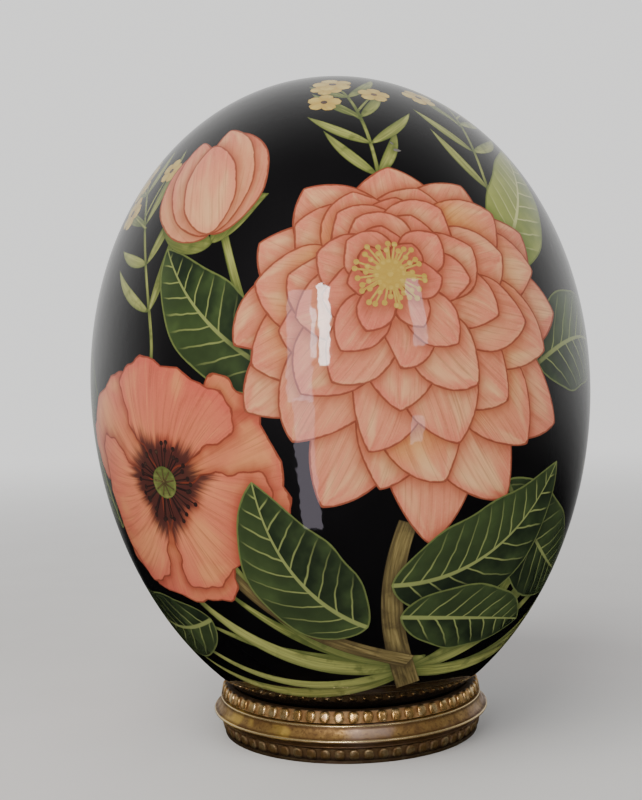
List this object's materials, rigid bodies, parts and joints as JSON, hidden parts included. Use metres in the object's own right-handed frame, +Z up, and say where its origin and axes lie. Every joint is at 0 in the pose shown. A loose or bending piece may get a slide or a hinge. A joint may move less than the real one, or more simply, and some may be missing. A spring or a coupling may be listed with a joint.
{
  "type": "decorated ostrich egg on stand",
  "caption": "Ostrich egg with flowers on a glossy black lacquered shell, standing blunt end up in a flanged ring stand of aged gilt brass with beaded edges.",
  "frame": {"origin": "on the table, under the middle of the whole object's bounding box", "axes": "+Z up through the egg's blunt end, -Y towards the viewer of the front, +X to that viewer's right"},
  "size_m": [0.1221, 0.122, 0.1601],
  "materials": {
    "lacquered_shell": "black lacquer with flowers in salmon pink, coral and green, under a thick clear gloss varnish",
    "gilt_beading": "aged gilt brass, pale on the crowns of the beads and brown between them",
    "worn_collar": "aged gilt brass, mottled and dull, with a bright worn flange edge"
  },
  "bodies": {
    "root": {"ostrich_egg": "lacquered_shell", "upper_beading": "gilt_beading", "stand_collar": "worn_collar", "lower_beading": "gilt_beading"}
  },
  "joints": []
}
